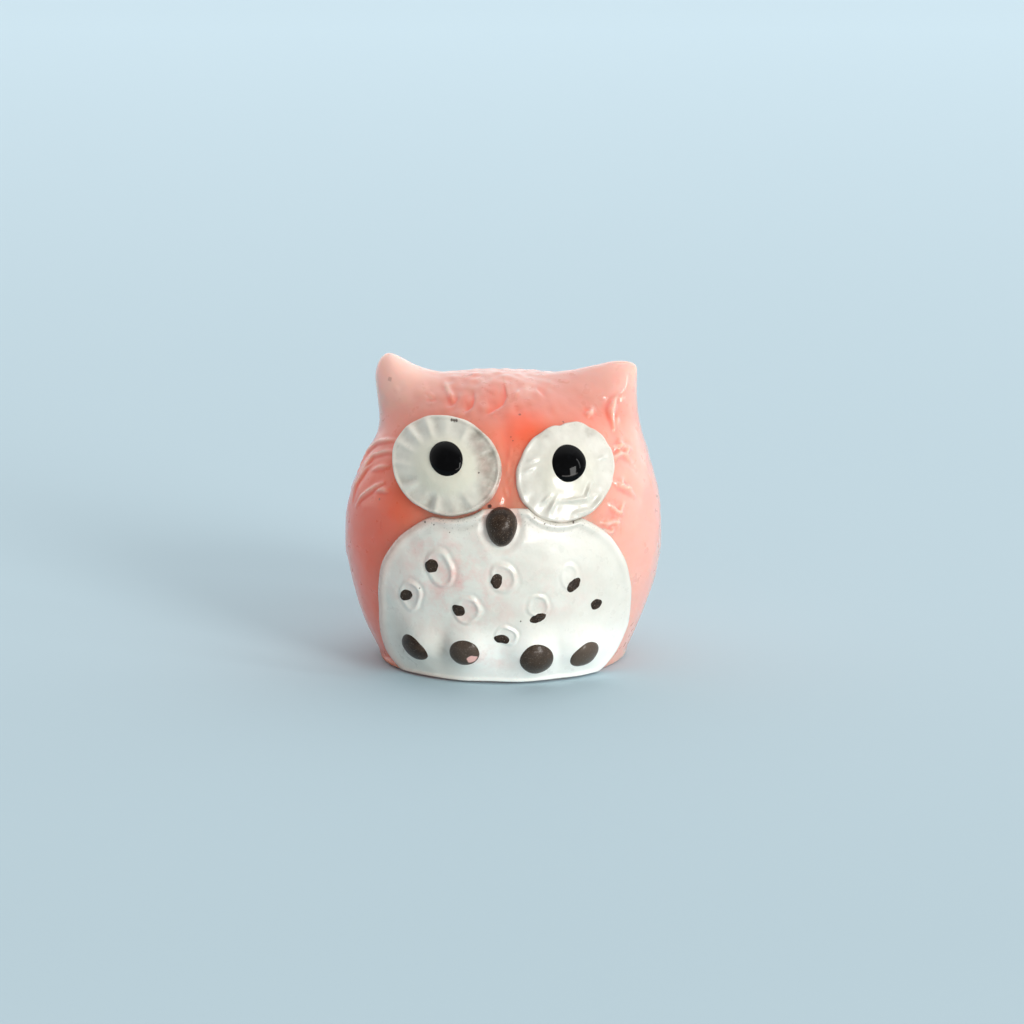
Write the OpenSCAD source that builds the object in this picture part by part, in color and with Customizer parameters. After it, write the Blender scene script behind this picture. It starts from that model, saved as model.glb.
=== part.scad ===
// Small owl figurine: one cast resin body with raised, hand-painted features.
// The owl faces -Y, its own left side is +X, and it stands on the plane z = 0.
// All sizes are in millimetres.

/* [Casting] */
// Width across the widest part of the body
body_width = 20; // [16:0.5:26]
// Depth from the body's axis to its front
front_depth = 8.75; // [7:0.25:11]
// Depth from the body's axis to its back
back_depth = 8.6; // [7:0.25:11]
// Height of the widest part above the base
waist_height = 7.75; // [6.5:0.25:9]
// Height of the crown above the widest part
crown_height = 10.6; // [9:0.2:13]
// Roundness of the upper half, where 2 is an ellipse
upper_roundness = 2; // [1.8:0.1:2.4]
// Depth below the widest part at which the lower half would close
lower_height = 14.65; // [12:0.25:18]
// Roundness of the lower half, where smaller is more tapered
lower_roundness = 1.64; // [1.5:0.02:2]
// Distance of the body's axis behind the origin
axis_setback = 0.6; // [0:0.1:1]

/* [Ears] */
// Lean of the left ear's tip from the vertical, in degrees
left_ear_lean = 38; // [34:0.5:42]
// How far the left ear's tip stands above the head
left_ear_height = 3.5; // [2:0.1:4]
// Lean of the right ear's tip from the vertical, in degrees
right_ear_lean = 32; // [28:0.5:36]
// How far the right ear's tip stands above the head
right_ear_height = 3.3; // [2:0.1:4]
// Spread of each ear from front to back, in degrees
ear_thickness = 10; // [7:0.5:14]

/* [Eyes] */
// Centre of the left eye disc, across and up
left_eye = [3.77, 13.2]; // [2:0.05:14]
// Half width and half height of the left eye disc
left_disc_size = [2.97, 2.73]; // [2.4:0.01:3.0]
// Centre of the right eye disc, across and up
right_eye = [-3.38, 13.57]; // [-4:0.05:14]
// Half width and half height of the right eye disc
right_disc_size = [3.36, 2.7]; // [2.4:0.01:3.4]
// How far each eye disc stands proud of the face
disc_thickness = 0.4; // [0.2:0.05:0.6]
// Centre of the left pupil, across and up
left_pupil = [3.78, 13.72]; // [2:0.02:14]
// Half length and half width of the left pupil
left_pupil_size = [1.08, 0.95]; // [0.7:0.01:1.3]
// Centre of the right pupil, across and up
right_pupil = [-3.3, 14]; // [-4:0.02:14.5]
// Half length and half width of the right pupil
right_pupil_size = [1, 0.93]; // [0.7:0.01:1.3]
// How far each pupil's dome stands proud of its disc
pupil_height = 0.38; // [0.2:0.02:0.6]

/* [Beak] */
// Centre of the beak, across and up
beak_centre = [-0.03, 10.33]; // [-1:0.05:11]
// Half width and half height of the beak
beak_size = [0.94, 1.17]; // [0.7:0.01:1.3]
// How far the beak stands proud of the belly panel
beak_height = 0.95; // [0.5:0.05:1.2]

/* [Belly] */
// Centre of the belly panel, across and up
belly_centre = [0.1, 4.9]; // [-1:0.1:6]
// Half width of the belly panel
belly_half_width = 7.75; // [6:0.05:8]
// Height of the belly panel above its centre
belly_rise = 6.55; // [5:0.05:6.6]
// Depth of the belly panel's curve below its centre
belly_drop = 6.1; // [5.2:0.1:7]
// How far the belly panel stands proud of the body
belly_thickness = 0.32; // [0.2:0.02:0.5]
// Longest half axis of a painted belly speck
speck_length = 0.48; // [0.3:0.02:0.6]
// How far a speck stands proud of the belly panel
speck_height = 0.08; // [0.05:0.01:0.15]

/* [Feet] */
// How far each white toe mound swells out of the belly panel
toe_swell = 0.55; // [0.3:0.05:0.8]
// Radius of each toe mound
toe_radius = 1.25; // [0.9:0.05:1.5]
// How far each claw's dome stands proud of its toe
claw_height = 0.22; // [0.1:0.02:0.35]

/* [Hidden] */

resin = "#f0a08f";
white_paint = "#ecece2";
black_paint = "#0b0b0c";
brown_paint = "#4b3d35";

// Each ear: side, lean, height, outer spread, inner spread, outer power, inner power.
left_ear = [1, left_ear_lean, left_ear_height, 10.3, 13.2, 0.9, 1.8];
right_ear = [-1, right_ear_lean, right_ear_height, 11.2, 8.1, 2.4, 1.15];
// Turn of the left pupil's longer axis from the horizontal.
left_pupil_turn = -40;
// Backward lean of both ears, and the rounding of their tips.
ear_tilt_back = 2;
ear_tip_rounding = 0.12;

// Centre of each toe mound, across and up.
toe_centres = [[4.6, 2.25], [1.9, 2.2], [-2.2, 2.55], [-4.75, 2.7]];

// Each claw: across, up, half length, half width, turn from the horizontal.
claw_left_outer_spec = [4.7, 2.05, 0.98, 0.66, 45];
claw_left_inner_spec = [1.97, 2.02, 0.97, 1.1, 0];
claw_right_inner_spec = [-2.2, 2.55, 0.88, 0.86, 0];
claw_right_outer_spec = [-5.08, 2.48, 0.98, 0.58, -52];

// Each speck: across, up, length against speck_length, width against its length, turn.
speck_specs = [
    [-4.22, 7.84, 0.92, 0.88, 60],
    [-5.75, 5.78, 0.84, 0.80, 40],
    [-2.62, 5.17, 0.90, 0.78, -40],
    [-0.36, 7.13, 1.00, 0.68, 70],
    [4.23, 6.65, 1.00, 0.66, 50],
    [5.57, 5.20, 0.80, 0.84, 30],
    [2.09, 4.67, 1.12, 0.50, 22],
    [-0.06, 3.33, 1.00, 0.58, -8]
];

// Mesh density: sides round each solid, and rings from its centre to its edge.
body_sides = 80;
body_rings = 46;
wide_sides = 64;
narrow_sides = 28;
panel_rings = 14;
disc_rings = 6;
dome_rings = 6;
beak_rings = 8;
speck_rings = 2;
// Halving steps and nearest and farthest depth tried when a point on the skin is sought.
solve_steps = 20;
fall_steps = 24;
nearest_skin = 0.3;
farthest_skin = 11;
// Lowest direction tried when the base's outline is sought, in degrees from the vertical.
lowest_fall = 179;
// Small step along each axis that finds the skin's slope.
probe = 0.01;
// Stands for a ray that meets nothing, and for the sine of a nearly level ray.
far_away = 100;
nearly_level = 0.01;
// Half the band, as a sine, over which the upper half blends into the lower half.
half_blend = 0.35;
// The casting's mesh runs this far below the base before it is cut flat.
cut_depth = 0.4;
// Block that cuts it flat, wider than the casting each way.
below_block = [2 * body_width, 2 * body_width, body_width];
// The belly panel ends this far above the base.
panel_foot = 0.2;
// Squareness of the panel's upper half and of its two lower corners.
upper_power = 2.5;
left_foot_power = 2.5;
right_foot_power = 3.1;
// Clear strip between the panel's top edge and the eye discs.
disc_clearance = 0.12;
// Thickness of every painted piece at its edge, and how sharply a sheet falls to it.
edge_thickness = 0.1;
panel_edge_power = 12;
disc_edge_power = 10;

function smooth_step(t) = let (k = min(max(t, 0), 1)) k * k * (3 - 2 * k);
function mix(a, b, t) = a + (b - a) * t;

// Height that one ear adds to the body's radius in the direction u.
function ear_rise(u, ear) =
    let (
        lean = atan2(ear[0] * u.x, u.z),
        tilt = asin(min(max(u.y, -1), 1)),
        across = (lean - ear[1]) / (lean > ear[1] ? ear[3] : ear[4]),
        along = (tilt - ear_tilt_back) / ear_thickness,
        spread = norm([across, along, ear_tip_rounding]),
        outward = (1 + across / spread) / 2
    )
    ear[2] * exp(-pow(spread, mix(ear[6], ear[5], outward)));

// Distance from the body's centre to its skin in the direction u.
function skin_radius(u) =
    let (
        k = smooth_step((u.z + half_blend) / (2 * half_blend)),
        power = mix(lower_roundness, upper_roundness, k),
        height = mix(lower_height, crown_height, k),
        depth = u.y < 0 ? front_depth : back_depth,
        flat = sqrt(pow(u.x / (body_width / 2), 2) + pow(u.y / depth, 2)),
        steep = abs(u.z) / height
    )
    pow(pow(flat, power) + pow(steep, power), -1 / power)
        + ear_rise(u, left_ear) + ear_rise(u, right_ear);

// How far a point lies inside the skin, measured along its ray from the centre.
function depth_inside(p) =
    let (q = p - [0, axis_setback, waist_height], r = norm(q))
    skin_radius(q / r) - r;

// Place where a line along Y through (x, z) meets the front of the body.
function front_y(x, z, near = nearest_skin, far = farthest_skin, step = solve_steps) =
    step == 0
        ? axis_setback - (near + far) / 2
        : let (middle = (near + far) / 2)
            depth_inside([x, axis_setback - middle, z]) > 0
                ? front_y(x, z, middle, far, step - 1)
                : front_y(x, z, near, middle, step - 1);

// Point that stands "lift" above the front of the body at (x, z), square to the skin.
function raised_point(x, z, lift) =
    let (
        p = [x, front_y(x, z), z],
        here = depth_inside(p),
        slope = [
            here - depth_inside(p + [probe, 0, 0]),
            here - depth_inside(p + [0, probe, 0]),
            here - depth_inside(p + [0, 0, probe])
        ],
        q = p + lift * slope / norm(slope)
    )
    [q.x, q.y, max(q.z, panel_foot)];

function direction(angle, fall) = [sin(fall) * cos(angle), sin(fall) * sin(angle), cos(fall)];

// Angle from the vertical at which the skin passes through the height "level".
function fall_to_level(angle, level, low = 90, high = lowest_fall, step = fall_steps) =
    step == 0
        ? (low + high) / 2
        : let (middle = (low + high) / 2, u = direction(angle, middle))
            waist_height + skin_radius(u) * u.z > level
                ? fall_to_level(angle, level, middle, high, step - 1)
                : fall_to_level(angle, level, low, middle, step - 1);

// Distance from the centre of an ellipse to its edge, for the angle a.
function ellipse_reach(half_length, half_width, a) =
    half_length * half_width / norm([half_width * cos(a), half_length * sin(a)]);

// Distance along a ray from c to an ellipse around e, or a long way if it misses.
function reach_to_ellipse(c, a, e, size) =
    let (
        start = [(c.x - e.x) / size.x, (c.y - e.y) / size.y],
        way = [cos(a) / size.x, sin(a) / size.y],
        qa = way * way,
        qb = 2 * start * way,
        qc = start * start - 1,
        root = qb * qb - 4 * qa * qc
    )
    root < 0 || qb > 0 ? far_away : (-qb - sqrt(root)) / (2 * qa);

// Edge of the belly panel: a rounded shield that stops below the eye discs.
function belly_reach(a) =
    let (
        upper = sin(a) > 0,
        power = upper ? upper_power : (cos(a) > 0 ? left_foot_power : right_foot_power),
        rise = upper ? belly_rise : belly_drop,
        gap = [disc_clearance, disc_clearance],
        shield = pow(
            pow(abs(cos(a)) / belly_half_width, power) + pow(abs(sin(a)) / rise, power),
            -1 / power
        ),
        floor = upper ? far_away : (belly_centre.y - panel_foot) / max(-sin(a), nearly_level)
    )
    min(
        shield,
        floor,
        reach_to_ellipse(belly_centre, a, left_eye, left_disc_size + gap),
        reach_to_ellipse(belly_centre, a, right_eye, right_disc_size + gap)
    );

// Height of the panel's surface above the skin, with a swell at each toe.
function panel_lift(x, z) =
    belly_thickness
        + toe_swell * max([
            for (c = toe_centres)
                let (away = norm([x - c.x, z - c.y]) / toe_radius)
                exp(-away * away)
        ]);

// Closed solid between two sheets that share one outline on the front of the body.
// "low" and "high" give each sheet's height above the skin at (x, z, f), where f
// runs from 0 at the centre to 1 at the edge.
module patch(centre, reach, sides, rings, low, high) {
    spots = [
        for (i = [0 : rings], j = [0 : sides - 1])
            let (a = 360 * j / sides, f = i / rings)
            [centre.x + f * reach(a) * cos(a), centre.y + f * reach(a) * sin(a), f]
    ];
    function sheet(lift) = concat(
        [raised_point(centre.x, centre.y, lift(centre.x, centre.y, 0))],
        [for (k = [sides : len(spots) - 1])
            let (s = spots[k]) raised_point(s.x, s.y, lift(s.x, s.y, s[2]))]
    );
    count = 1 + rings * sides;
    function at(i, j) = 1 + (i - 1) * sides + (j % sides);
    top = concat(
        [for (j = [0 : sides - 1]) [0, at(1, j + 1), at(1, j)]],
        [for (i = [1 : rings - 1], j = [0 : sides - 1])
            [at(i, j), at(i, j + 1), at(i + 1, j + 1)]],
        [for (i = [1 : rings - 1], j = [0 : sides - 1])
            [at(i, j), at(i + 1, j + 1), at(i + 1, j)]]
    );
    bottom = [for (t = top) [t[2] + count, t[1] + count, t[0] + count]];
    rim = [for (j = [0 : sides - 1])
        [at(rings, j), at(rings, j + 1), at(rings, j + 1) + count]];
    rim_rest = [for (j = [0 : sides - 1])
        [at(rings, j), at(rings, j + 1) + count, at(rings, j) + count]];
    polyhedron(
        points = concat(sheet(high), sheet(low)),
        faces = concat(top, bottom, rim, rim_rest)
    );
}

// Domed blob with an elliptical outline, standing on the height "base".
module painted_dome(spec, base, height, sides, rings) {
    patch(
        [spec.x, spec.y],
        function (a) ellipse_reach(spec[2], spec[3], a - spec[4]),
        sides,
        rings,
        base,
        function (x, z, f) base(x, z, f) + edge_thickness + (height - edge_thickness) * (1 - f * f)
    );
}

module body() {
    count = (body_rings + 1) * body_sides;
    rim_points = [
        for (i = [0 : body_rings], j = [0 : body_sides - 1])
            let (
                angle = 360 * j / body_sides,
                fall = fall_to_level(angle, -cut_depth) * (1 - i / (body_rings + 1)),
                u = direction(angle, fall)
            )
            [0, axis_setback, waist_height] + skin_radius(u) * u
    ];
    crown = [0, axis_setback, waist_height + skin_radius([0, 0, 1])];
    side_faces = [
        for (i = [0 : body_rings - 1], j = [0 : body_sides - 1])
            let (a = i * body_sides + j, b = i * body_sides + (j + 1) % body_sides)
            [[a, a + body_sides, b], [b, a + body_sides, b + body_sides]]
    ];
    crown_faces = [
        for (j = [0 : body_sides - 1])
            [body_rings * body_sides + j, count, body_rings * body_sides + (j + 1) % body_sides]
    ];
    color(resin)
    difference() {
        polyhedron(
            points = concat(rim_points, [crown]),
            faces = concat(
                [for (pair = side_faces) each pair],
                crown_faces,
                [[for (j = [0 : body_sides - 1]) j]]
            )
        );
        translate([-below_block.x / 2, -below_block.y / 2, -below_block.z])
        cube(below_block);
    }
}

module belly_panel() {
    color(white_paint)
    patch(
        belly_centre,
        function (a) belly_reach(a),
        wide_sides,
        panel_rings,
        function (x, z, f) 0,
        function (x, z, f) panel_lift(x, z) - (belly_thickness - edge_thickness) * pow(f, panel_edge_power)
    );
}

module eye_disc(centre, size) {
    color(white_paint)
    patch(
        centre,
        function (a) ellipse_reach(size.x, size.y, a),
        wide_sides,
        disc_rings,
        function (x, z, f) 0,
        function (x, z, f) disc_thickness - (disc_thickness - edge_thickness) * pow(f, disc_edge_power)
    );
}

module pupil(centre, size, turn) {
    color(black_paint)
    painted_dome(
        [centre.x, centre.y, size.x, size.y, turn],
        function (x, z, f) disc_thickness,
        pupil_height,
        narrow_sides,
        dome_rings
    );
}

module beak() {
    color(brown_paint)
    painted_dome(
        [beak_centre.x, beak_centre.y, beak_size.x, beak_size.y, 0],
        function (x, z, f) belly_thickness,
        beak_height,
        narrow_sides,
        beak_rings
    );
}

module claw(spec) {
    color(brown_paint)
    painted_dome(spec, function (x, z, f) panel_lift(x, z), claw_height, narrow_sides, dome_rings);
}

module belly_speck(spec) {
    long = speck_length * spec[2];
    color(brown_paint)
    painted_dome(
        [spec.x, spec.y, long, long * spec[3], spec[4]],
        function (x, z, f) panel_lift(x, z),
        speck_height + edge_thickness,
        narrow_sides,
        speck_rings
    );
}

body();
belly_panel();
beak();
eye_disc(left_eye, left_disc_size);  // eye_disc_left
eye_disc(right_eye, right_disc_size);  // eye_disc_right
pupil(left_pupil, left_pupil_size, left_pupil_turn);  // pupil_left
pupil(right_pupil, right_pupil_size, 0);  // pupil_right
claw(claw_left_outer_spec);  // claw_left_outer
claw(claw_left_inner_spec);  // claw_left_inner
claw(claw_right_inner_spec);  // claw_right_inner
claw(claw_right_outer_spec);  // claw_right_outer
belly_speck(speck_specs[0]);  // belly_speck_1
belly_speck(speck_specs[1]);  // belly_speck_2
belly_speck(speck_specs[2]);  // belly_speck_3
belly_speck(speck_specs[3]);  // belly_speck_4
belly_speck(speck_specs[4]);  // belly_speck_5
belly_speck(speck_specs[5]);  // belly_speck_6
belly_speck(speck_specs[6]);  // belly_speck_7
belly_speck(speck_specs[7]);  // belly_speck_8
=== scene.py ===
"""A small cast and painted owl figurine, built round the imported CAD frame.

The shape formulas work in millimetres, as the CAD source does, and every mesh is
scaled to metres when it is made. The owl faces -Y and its own left side is +X.
"""
import math
from collections import namedtuple

import bpy
import numpy as np
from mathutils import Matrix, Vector


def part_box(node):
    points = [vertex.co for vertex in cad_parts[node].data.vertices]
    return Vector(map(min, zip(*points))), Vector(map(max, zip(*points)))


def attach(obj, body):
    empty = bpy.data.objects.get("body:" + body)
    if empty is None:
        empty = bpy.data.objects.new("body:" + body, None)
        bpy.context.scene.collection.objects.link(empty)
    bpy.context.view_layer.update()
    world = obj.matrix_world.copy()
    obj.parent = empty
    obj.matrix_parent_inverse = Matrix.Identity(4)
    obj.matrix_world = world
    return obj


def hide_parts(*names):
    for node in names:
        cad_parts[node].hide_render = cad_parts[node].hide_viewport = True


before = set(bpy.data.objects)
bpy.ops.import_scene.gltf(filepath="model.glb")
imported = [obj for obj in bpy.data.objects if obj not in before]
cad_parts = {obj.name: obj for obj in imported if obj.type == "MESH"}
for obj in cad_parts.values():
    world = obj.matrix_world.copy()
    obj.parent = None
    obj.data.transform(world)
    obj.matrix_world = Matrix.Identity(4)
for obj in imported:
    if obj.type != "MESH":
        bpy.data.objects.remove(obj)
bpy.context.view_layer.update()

MM = 0.001
# Picks the two axes seen from the front out of a point.
ACROSS_UP = [0, 2]
# An outline as seen from the front.
Ellipse = namedtuple("Ellipse", "x z half_w half_h")


def node_middle(node):
    """Middle of a CAD node's box, across and up, in millimetres."""
    low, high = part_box(node)
    return (np.array(low) + np.array(high))[ACROSS_UP] / 2 / MM


def node_reach(node):
    """Half the width and height of a CAD node's box in millimetres."""
    low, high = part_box(node)
    return (np.array(high) - np.array(low))[ACROSS_UP] / 2 / MM


def flat_ellipse(node, overhang):
    """A node's outline on the skin, inside its box by the overhang."""
    return Ellipse(*map(float, node_middle(node) - overhang), *map(float, node_reach(node) - overhang))


# ---- casting shape

HALF_WIDTH = 10.0
FRONT_DEPTH = 8.75
BACK_DEPTH = 8.6
SETBACK = 0.6
WAIST = 7.75
CROWN = 10.6
LOWER = 14.65
UPPER_POWER = 2.0
LOWER_POWER = 1.64
HALF_BLEND = 0.35
CENTRE = np.array([0.0, SETBACK, WAIST])
# Side 1 is the owl's left. Lean and spreads are in degrees from the body's centre.
Ear = namedtuple("Ear", "side lean height outer inner outer_power inner_power")
EARS = (
    Ear(1, lean=38.0, height=3.5, outer=10.3, inner=13.2, outer_power=0.9, inner_power=1.8),
    Ear(-1, lean=32.0, height=3.3, outer=11.2, inner=8.1, outer_power=2.4, inner_power=1.15),
)
EAR_TILT = 2.0
EAR_THICKNESS = 10.0
EAR_ROUNDING = 0.12
# The front skin lies between these depths before the middle plane.
NEAREST_SKIN = 0.3
FARTHEST_SKIN = 11.0
BISECTIONS = 30
NORMAL_PROBE = 0.01
FOOT_STEPS = 5


def step(low, high, value):
    """Smooth step from 0 at low to 1 at high, which may be the smaller of the two."""
    t = np.clip((value - low) / (high - low), 0.0, 1.0)
    return t * t * (3 - 2 * t)


def mix(a, b, t):
    return a + (b - a) * t


def bell(value, centre, width):
    """1 at the centre, and falling smoothly to 0 over about twice the width."""
    return np.exp(-((value - centre) / width) ** 2)


def turned(dx, dz, turn):
    """Parts of an offset along and across an axis turned by some degrees."""
    t = math.radians(turn)
    return dx * math.cos(t) + dz * math.sin(t), -dx * math.sin(t) + dz * math.cos(t)


def upright(x, z):
    """Points on the middle plane."""
    return np.stack([x, np.zeros_like(x), z], 1)


def ear_spread(u, ear):
    """Angular distance from an ear's tip, and how far to the outside it lies."""
    angle = np.degrees(np.arctan2(ear.side * u[:, 0], u[:, 2]))
    tilt = np.degrees(np.arcsin(np.clip(u[:, 1], -1, 1)))
    across = (angle - ear.lean) / np.where(angle > ear.lean, ear.outer, ear.inner)
    along = (tilt - EAR_TILT) / EAR_THICKNESS
    spread = np.sqrt(across ** 2 + along ** 2 + EAR_ROUNDING ** 2)
    return spread, (1 + across / spread) / 2


def skin_radius(u):
    """Distance from the body's centre to its skin in each unit direction."""
    k = step(-HALF_BLEND, HALF_BLEND, u[:, 2])
    power = mix(LOWER_POWER, UPPER_POWER, k)
    height = mix(LOWER, CROWN, k)
    depth = np.where(u[:, 1] < 0, FRONT_DEPTH, BACK_DEPTH)
    flat = np.sqrt((u[:, 0] / HALF_WIDTH) ** 2 + (u[:, 1] / depth) ** 2)
    steep = np.abs(u[:, 2]) / height
    radius = (flat ** power + steep ** power) ** (-1 / power)
    for ear in EARS:
        spread, outward = ear_spread(u, ear)
        radius += ear.height * np.exp(-spread ** mix(ear.inner_power, ear.outer_power, outward))
    return radius


def depth_inside(p):
    """Depth of points under the skin, towards the body's centre."""
    q = p - CENTRE
    r = np.linalg.norm(q, axis=1)
    return skin_radius(q / r[:, None]) - r


def front_skin(x, z):
    """Points where lines along Y through (x, z) meet the front of the casting."""
    near = np.full(x.shape, NEAREST_SKIN)
    far = np.full(x.shape, FARTHEST_SKIN)
    for _ in range(BISECTIONS):
        middle = (near + far) / 2
        inside = depth_inside(np.stack([x, SETBACK - middle, z], 1)) > 0
        near = np.where(inside, middle, near)
        far = np.where(inside, far, middle)
    return np.stack([x, SETBACK - (near + far) / 2, z], 1)


def skin_normals(p):
    here = depth_inside(p)
    slope = np.stack([here - depth_inside(p + NORMAL_PROBE * axis) for axis in np.eye(3)], 1)
    return slope / np.linalg.norm(slope, axis=1)[:, None]


def foot_of(node, lift):
    """Where on the skin a node stands whose middle is lift(x, z) mm above it."""
    middle = node_middle(node)
    foot = middle.copy()
    for _ in range(FOOT_STEPS):
        x, z = foot[:1], foot[1:]
        normal = skin_normals(front_skin(x, z))[0]
        foot = middle - normal[ACROSS_UP] * lift(x, z)[0]
    return foot


def ripple(p, size, seed, count=30):
    """Smooth random unevenness of about unit height and the given size in mm."""
    rng = np.random.default_rng(seed)
    way = rng.normal(size=(count, 3))
    pitch = (2 * math.pi / size) * rng.uniform(0.6, 1.4, (count, 1))
    way *= pitch / np.linalg.norm(way, axis=1)[:, None]
    phase = rng.uniform(0, 2 * math.pi, count)
    return np.cos(p @ way.T + phase).sum(1) / math.sqrt(count / 2)


# ---- painted areas

BELLY_CENTRE = np.array([0.1, 4.9])
BELLY_HALF_WIDTH = 7.75
BELLY_RISE = 6.55
BELLY_DROP = 6.1
BELLY_POWER = 2.5
BELLY_RIGHT_FOOT_POWER = 3.1
BELLY_THICKNESS = 0.32
# How deep the panel dips beside the beak, and how fast that fades.
BEAK_DIP = 0.12
BEAK_DIP_FADE = 0.06
PANEL_FOOT = 0.2
# The panel runs up to the left disc and stops just short of the right one.
DISC_GAPS = (-0.03, 0.13)
DISC_THICKNESS = 0.4
# How far a piece reaches past its outline on the skin, as its sides lean outward.
OVERHANG = 0.035
LEFT_DISC = flat_ellipse("eye_disc_left", OVERHANG)
RIGHT_DISC = flat_ellipse("eye_disc_right", OVERHANG)
BEAK = flat_ellipse("beak", OVERHANG)
# Mounds under the claws: centre across and up, and height.
TOES = (
    (4.6, 2.25, 0.5), (1.9, 2.2, 0.72), (-2.2, 2.55, 0.72), (-4.75, 2.7, 0.68),
)
TOE_RADIUS = 1.22
TOE_BLEND = 4.0
FAR_AWAY = 100.0
# Raised almond rings round the specks: across, up, half width, half height, turn, strength.
RINGS = (
    (-3.75, 7.72, 0.78, 1.08, 12, 1.0), (-5.5, 5.75, 0.62, 0.98, 4, 0.9),
    (-2.08, 5.2, 0.86, 0.86, 0, 0.9), (0.04, 7.3, 0.78, 0.96, 20, 0.8),
    (3.98, 7.2, 0.55, 0.8, -10, 0.45), (2.08, 5.42, 0.66, 0.72, 0, 0.75),
    (0.26, 3.6, 0.6, 0.62, 0, 0.7),
)
RING_BEND = 0.05
RIM_HEIGHT = 0.1
GROOVE_DEPTH = 0.035
DISH_DEPTH = 0.03


def ellipse_reach(half_length, half_width, angle):
    return half_length * half_width / np.hypot(half_width * np.cos(angle), half_length * np.sin(angle))


def reach_to_ellipse(centre, angle, ellipse, gap):
    """Distance from centre along each angle to an ellipse, or a long way."""
    ex, ez, half_w, half_h = ellipse
    half_w, half_h = half_w + gap, half_h + gap
    start = np.array([(centre[0] - ex) / half_w, (centre[1] - ez) / half_h])
    way = np.stack([np.cos(angle) / half_w, np.sin(angle) / half_h], 1)
    a = (way ** 2).sum(1)
    b = 2 * way @ start
    c = start @ start - 1
    root = b * b - 4 * a * c
    hit = (root >= 0) & (b < 0)
    return np.where(hit, (-b - np.sqrt(np.maximum(root, 0))) / (2 * a), FAR_AWAY)


def belly_reach(angle):
    upper = np.sin(angle) > 0
    right_foot = ~upper & (np.cos(angle) <= 0)
    power = np.where(right_foot, BELLY_RIGHT_FOOT_POWER, BELLY_POWER)
    rise = np.where(upper, BELLY_RISE, BELLY_DROP)
    shield = ((np.abs(np.cos(angle)) / BELLY_HALF_WIDTH) ** power
              + (np.abs(np.sin(angle)) / rise) ** power) ** (-1 / power)
    wobble = 1 + 0.003 * np.sin(9 * angle + 1.0) + 0.0015 * np.sin(23 * angle)
    to_foot = (BELLY_CENTRE[1] - PANEL_FOOT) / np.maximum(-np.sin(angle), 0.01)
    reach = np.minimum(shield * wobble, np.where(upper, FAR_AWAY, to_foot))
    for disc, gap in zip((LEFT_DISC, RIGHT_DISC), DISC_GAPS):
        reach = np.minimum(reach, reach_to_ellipse(BELLY_CENTRE, angle, disc, gap))
    return reach


def ring_relief(x, z):
    """Embossed feather tips on the belly: a rim that is steep outside, round a shallow dish."""
    lift = np.zeros_like(x)
    p = upright(x, z)
    bend_x, bend_z = RING_BEND * ripple(p, 1.5, 13), RING_BEND * ripple(p, 1.5, 14)
    for cx, cz, half_w, half_h, turn, strength in RINGS:
        along, across = turned(x - cx + bend_x, z - cz + bend_z, turn)
        d = np.hypot(along / half_w, across / half_h)
        edge = RIM_HEIGHT * bell(d, 0.86, 0.17) - GROOVE_DEPTH * bell(d, 1.18, 0.16)
        right_side = 0.55 + 0.45 * step(-0.6, 0.5, along / half_w)
        dish = 1 - step(0.2, 0.85, d)
        lift += strength * right_side * edge - strength * DISH_DEPTH * dish
    return lift


def toe_relief(x, z):
    """Mounds under the claws, blended where they meet."""
    swell = [rise * np.exp(-((x - cx) ** 2 + (z - cz) ** 2) / TOE_RADIUS ** 2)
             for cx, cz, rise in TOES]
    return (np.array(swell) ** TOE_BLEND).sum(0) ** (1 / TOE_BLEND)


def panel_lift(x, z):
    """Height of the belly panel's surface above the skin, away from its edge."""
    bx, bz, half_w, half_h = BEAK
    round_beak = np.hypot((x - bx) / (half_w + 0.1), (z - bz) / (half_h + 0.1))
    dip = np.exp(-np.maximum(round_beak - 1, 0) ** 2 / BEAK_DIP_FADE)
    p = upright(x, z)
    uneven = 0.018 * ripple(p, 3.2, 11) + 0.006 * ripple(p, 1.1, 12)
    return BELLY_THICKNESS + toe_relief(x, z) + ring_relief(x, z) + uneven - BEAK_DIP * dip


# ---- mesh building

# How deep a painted piece goes under the skin, and how high above the floor it stays.
SINK = -0.06
FLOOR_CLEARANCE = 0.02
# The hidden underside has one ring for this many on top.
LOW_RING_STEP = 12


def make_piece(name, points, faces, material, nodes, attributes=None):
    """Mesh object that stands for the CAD nodes named; faces holds arrays of faces."""
    mesh = bpy.data.meshes.new(name)
    mesh.from_pydata((points * MM).tolist(), [], [face for group in faces for face in group.tolist()])
    mesh.shade_smooth()
    for key, values in (attributes or {}).items():
        layer = mesh.attributes.new(key, "FLOAT", "POINT")
        layer.data.foreach_set("value", np.asarray(values, dtype=np.float32))
    mesh.materials.append(material)
    piece = bpy.data.objects.new(name, mesh)
    bpy.context.scene.collection.objects.link(piece)
    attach(piece, "root")
    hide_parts(*nodes)
    return piece


def padded(mask, count, fill=0.0):
    """A mask clipped to 0..1 and filled up to cover the hidden points as well."""
    return np.pad(np.clip(mask, 0, 1), (0, count - len(mask)), constant_values=fill)


def ring_faces(first, second, sides, flip=False):
    """Quads between two rings of vertices that start at the indices given."""
    j = np.arange(sides)
    k = (j + 1) % sides
    quads = np.stack([first + j, first + k, second + k, second + j], 1)
    return quads[:, ::-1] if flip else quads


def fan_faces(middle, first, sides, flip=False):
    """Triangles from a middle vertex to the ring that starts at the index given."""
    j = np.arange(sides)
    k = (j + 1) % sides
    fan = np.stack([np.full(sides, middle), first + j, first + k], 1)
    return fan[:, [0, 2, 1]] if flip else fan


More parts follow.
